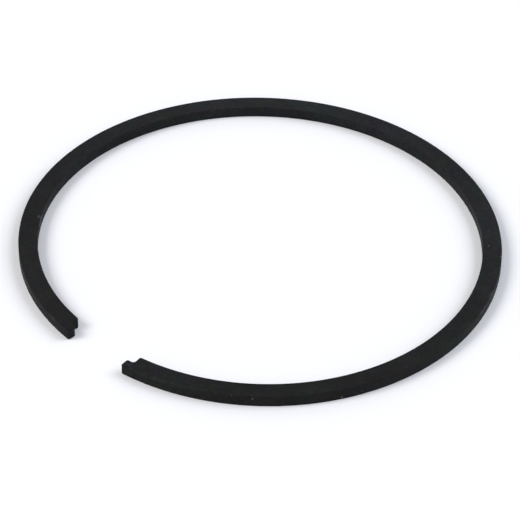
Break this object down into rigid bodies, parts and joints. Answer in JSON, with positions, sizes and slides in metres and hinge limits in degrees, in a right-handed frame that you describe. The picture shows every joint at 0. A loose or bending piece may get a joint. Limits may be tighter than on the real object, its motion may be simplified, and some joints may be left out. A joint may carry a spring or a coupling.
{
  "type": "piston ring",
  "caption": "Two-stroke piston ring: split spring ring of flat section that seals a piston in its bore, with a pin notch inside each end.",
  "frame": {"origin": "middle of the relaxed ring's outline, in the plane of the lower side face", "axes": "+Z along the bore from the lower side face to the upper one; -Y through the middle of the gap and +Y through the back of the ring; +X across the ring, to the right when the gap faces the viewer"},
  "size_m": [0.0634, 0.0616, 0.0015],
  "materials": {
    "black_phosphated_iron": "matte"
  },
  "bodies": {
    "root": {"piston_ring": "black_phosphated_iron"}
  },
  "joints": []
}
